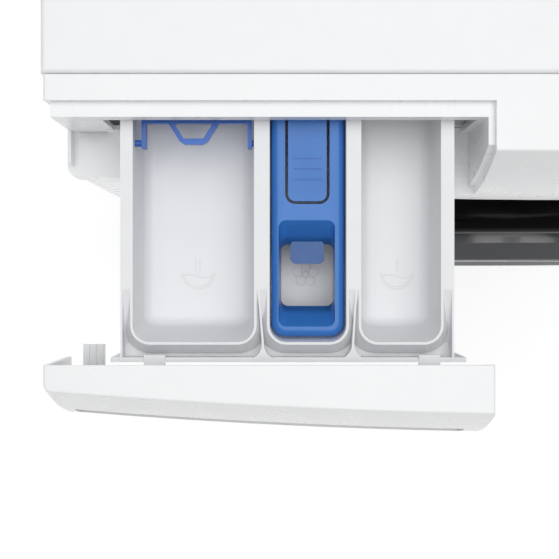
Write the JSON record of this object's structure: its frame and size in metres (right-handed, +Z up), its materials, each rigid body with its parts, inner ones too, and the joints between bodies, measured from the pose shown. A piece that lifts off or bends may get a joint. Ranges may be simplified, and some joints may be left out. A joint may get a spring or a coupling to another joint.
{
  "type": "front load washing machine",
  "caption": "Freestanding front load washer with a round hinged door, pull-out detergent drawer with blue covers, knob and keys, and a sprung drum unit inside.",
  "frame": {"origin": "on the floor, at the middle of the machine's overall width and depth with the drawer open", "axes": "+X to the right as seen from the front, +Y towards the back wall, +Z up; the door faces -Y"},
  "size_m": [0.6, 0.6861, 0.848],
  "materials": {
    "white_enamel": "smooth baked enamel",
    "top_white": "satin laminate",
    "zinc_steel": "galvanised sheet",
    "screw_steel": "zinc plated",
    "foot_black": "ribbed, with a steel stud",
    "panel_white": "fine satin moulding",
    "moulded_white": "fine grained moulding",
    "cover_blue": "translucent satin blue",
    "flap_blue": "translucent blue",
    "grip_grey": "moulded",
    "display_black": "smoked window",
    "board_green": "circuit board",
    "knob_white": "satin with a grey ring",
    "key_grey": "satin",
    "key_white": "satin",
    "valve_white": "moulded nylon",
    "hose_black": "matt rubber",
    "gland_grey": "moulded",
    "tub_grey": "filled polypropylene",
    "bearing_steel": "ground",
    "heater_steel": "drawn tube",
    "concrete": "cast concrete",
    "spring_steel": "oiled wire",
    "damper_grey": "moulded",
    "rod_steel": "polished",
    "gasket_grey": "matt rubber",
    "motor_alloy": "cast housing",
    "pulley_alloy": "cast",
    "belt_black": "ribbed",
    "drum_steel": "perforated stainless",
    "spider_alloy": "cast",
    "shaft_steel": "ground",
    "lifter_grey": "moulded",
    "pump_grey": "moulded",
    "filter_grey": "moulded",
    "impeller_white": "moulded",
    "pipe_grey": "smooth hose",
    "door_black": "piano gloss",
    "ring_grey": "dark gloss",
    "door_glass": "pressed glass",
    "inner_grey": "moulded",
    "hinge_alloy": "die cast",
    "lock_black": "moulded"
  },
  "bodies": {
    "cabinet": {"cabinet_shell": "white_enamel", "rear_cover": "zinc_steel", "rear_screws": "screw_steel", "top_plate": "top_white", "base_frame": "foot_black", "levelling_feet": "foot_black", "front_panel": "white_enamel", "kick_panel": "panel_white", "control_panel": "panel_white", "display_window": "display_black", "control_board": "board_green", "dispenser_housing": "moulded_white", "inlet_valve": "valve_white", "valve_hose": "hose_black", "mains_gland": "gland_grey", "suspension_springs": "spring_steel", "damper_cylinders": "damper_grey", "fill_bellows": "hose_black", "door_gasket": "gasket_grey", "drain_pump": "pump_grey", "sump_hose": "hose_black", "drain_pipe": "pipe_grey", "hinge_bracket": "hinge_alloy", "hinge_pin": "rod_steel", "door_lock": "lock_black"},
    "tub": {"tub_front": "tub_grey", "tub_rear": "tub_grey", "tub_bearings": "bearing_steel", "heater": "heater_steel", "counterweight": "concrete", "damper_rods": "rod_steel", "motor": "motor_alloy", "drive_belt": "belt_black"},
    "drum": {"drum_shell": "drum_steel", "drum_spider": "spider_alloy", "drum_shaft": "shaft_steel", "drum_lifters": "lifter_grey", "drum_pulley": "pulley_alloy"},
    "motor_rotor": {"motor_pulley": "shaft_steel"},
    "drawer": {"drawer_front": "panel_white", "drawer_grip": "grip_grey", "drawer_bin": "moulded_white", "siphon_cover": "cover_blue"},
    "tongue": {"release_tongue": "cover_blue"},
    "flap": {"detergent_flap": "flap_blue"},
    "door": {"door_frame": "door_black", "door_ring": "ring_grey", "door_glass": "door_glass", "door_inner_frame": "inner_grey", "door_hinge_arm": "hinge_alloy"},
    "hook": {"door_hook": "hinge_alloy"},
    "knob": {"programme_knob": "knob_white"},
    "power_key": {"power_button": "key_white"},
    "start_key": {"start_button": "key_white"},
    "temperature_key": {"temperature_button": "key_grey"},
    "spin_key": {"spin_button": "key_grey"},
    "delay_key": {"delay_button": "key_grey"},
    "service_flap": {"filter_flap": "panel_white"},
    "filter": {"filter_cap": "filter_grey"},
    "impeller": {"pump_impeller": "impeller_white"}
  },
  "joints": [
    {"name": "drawer_slide", "type": "slide", "parent": "cabinet", "child": "drawer", "axis": [0, -1, 0], "range_m": [-0.139, 0]},
    {"name": "tongue_press", "type": "hinge", "parent": "drawer", "child": "tongue", "pos_m": [-0.1586, -0.146, 0.8244], "axis": [1, 0, 0], "range_deg": [0, 6], "stiffness_Nm_per_rad": 0.4},
    {"name": "flap_swing", "type": "hinge", "parent": "drawer", "child": "flap", "pos_m": [-0.2191, -0.179, 0.82], "axis": [1, 0, 0], "range_deg": [0, 20]},
    {"name": "door_hinge", "type": "hinge", "parent": "cabinet", "child": "door", "pos_m": [-0.238, -0.208, 0.418], "axis": [0, 0, -1], "range_deg": [0, 160]},
    {"name": "hook_pivot", "type": "hinge", "parent": "door", "child": "hook", "pos_m": [0.207, -0.205, 0.418], "axis": [0, 0, 1], "range_deg": [0, 8], "stiffness_Nm_per_rad": 0.3},
    {"name": "programme_turn", "type": "hinge", "parent": "cabinet", "child": "knob", "pos_m": [0.02009, -0.20221, 0.79517], "axis": [0.0055, -0.9847, 0.1741], "continuous": true},
    {"name": "power_press", "type": "slide", "parent": "cabinet", "child": "power_key", "axis": [-0.0199, 0.9845, -0.1741], "range_m": [0, 0.0012], "stiffness_N_per_m": 400},
    {"name": "start_press", "type": "slide", "parent": "cabinet", "child": "start_key", "axis": [-0.0729, 0.982, -0.1741], "range_m": [0, 0.0012], "stiffness_N_per_m": 400},
    {"name": "temperature_press", "type": "slide", "parent": "cabinet", "child": "temperature_key", "axis": [-0.0358, 0.9976, -0.0593], "range_m": [0, 0.0012], "stiffness_N_per_m": 400},
    {"name": "spin_press", "type": "slide", "parent": "cabinet", "child": "spin_key", "axis": [-0.0476, 0.9971, -0.0593], "range_m": [0, 0.0012], "stiffness_N_per_m": 400},
    {"name": "delay_press", "type": "slide", "parent": "cabinet", "child": "delay_key", "axis": [-0.0593, 0.9965, -0.0593], "range_m": [0, 0.0012], "stiffness_N_per_m": 400},
    {"name": "service_flap_hinge", "type": "hinge", "parent": "cabinet", "child": "service_flap", "pos_m": [0.2, -0.187, 0.034], "axis": [1, 0, 0], "range_deg": [0, 90]},
    {"name": "filter_turn", "type": "hinge", "parent": "cabinet", "child": "filter", "pos_m": [0.2, -0.165, 0.064], "axis": [0, 1, 0], "range_deg": [0, 120]},
    {"name": "impeller_spin", "type": "hinge", "parent": "cabinet", "child": "impeller", "pos_m": [0.2, -0.09, 0.064], "axis": [0, 1, 0], "continuous": true},
    {"name": "tub_suspension", "type": "slide", "parent": "cabinet", "child": "tub", "axis": [0, 0, 1], "range_m": [-0.008, 0.008], "stiffness_N_per_m": 20000, "springref_m": 0.01645, "deforming": ["suspension_springs", "fill_bellows", "sump_hose", "door_gasket"]},
    {"name": "drum_spin", "type": "hinge", "parent": "tub", "child": "drum", "pos_m": [0, 0.05, 0.418], "axis": [0, 1, 0], "continuous": true},
    {"name": "motor_spin", "type": "hinge", "parent": "tub", "child": "motor_rotor", "pos_m": [0.155, 0.25, 0.115], "axis": [0, 1, 0], "continuous": true}
  ],
  "couplings": [
    {"joint": "motor_spin", "follows": "drum_spin", "ratio": 12.727}
  ]
}
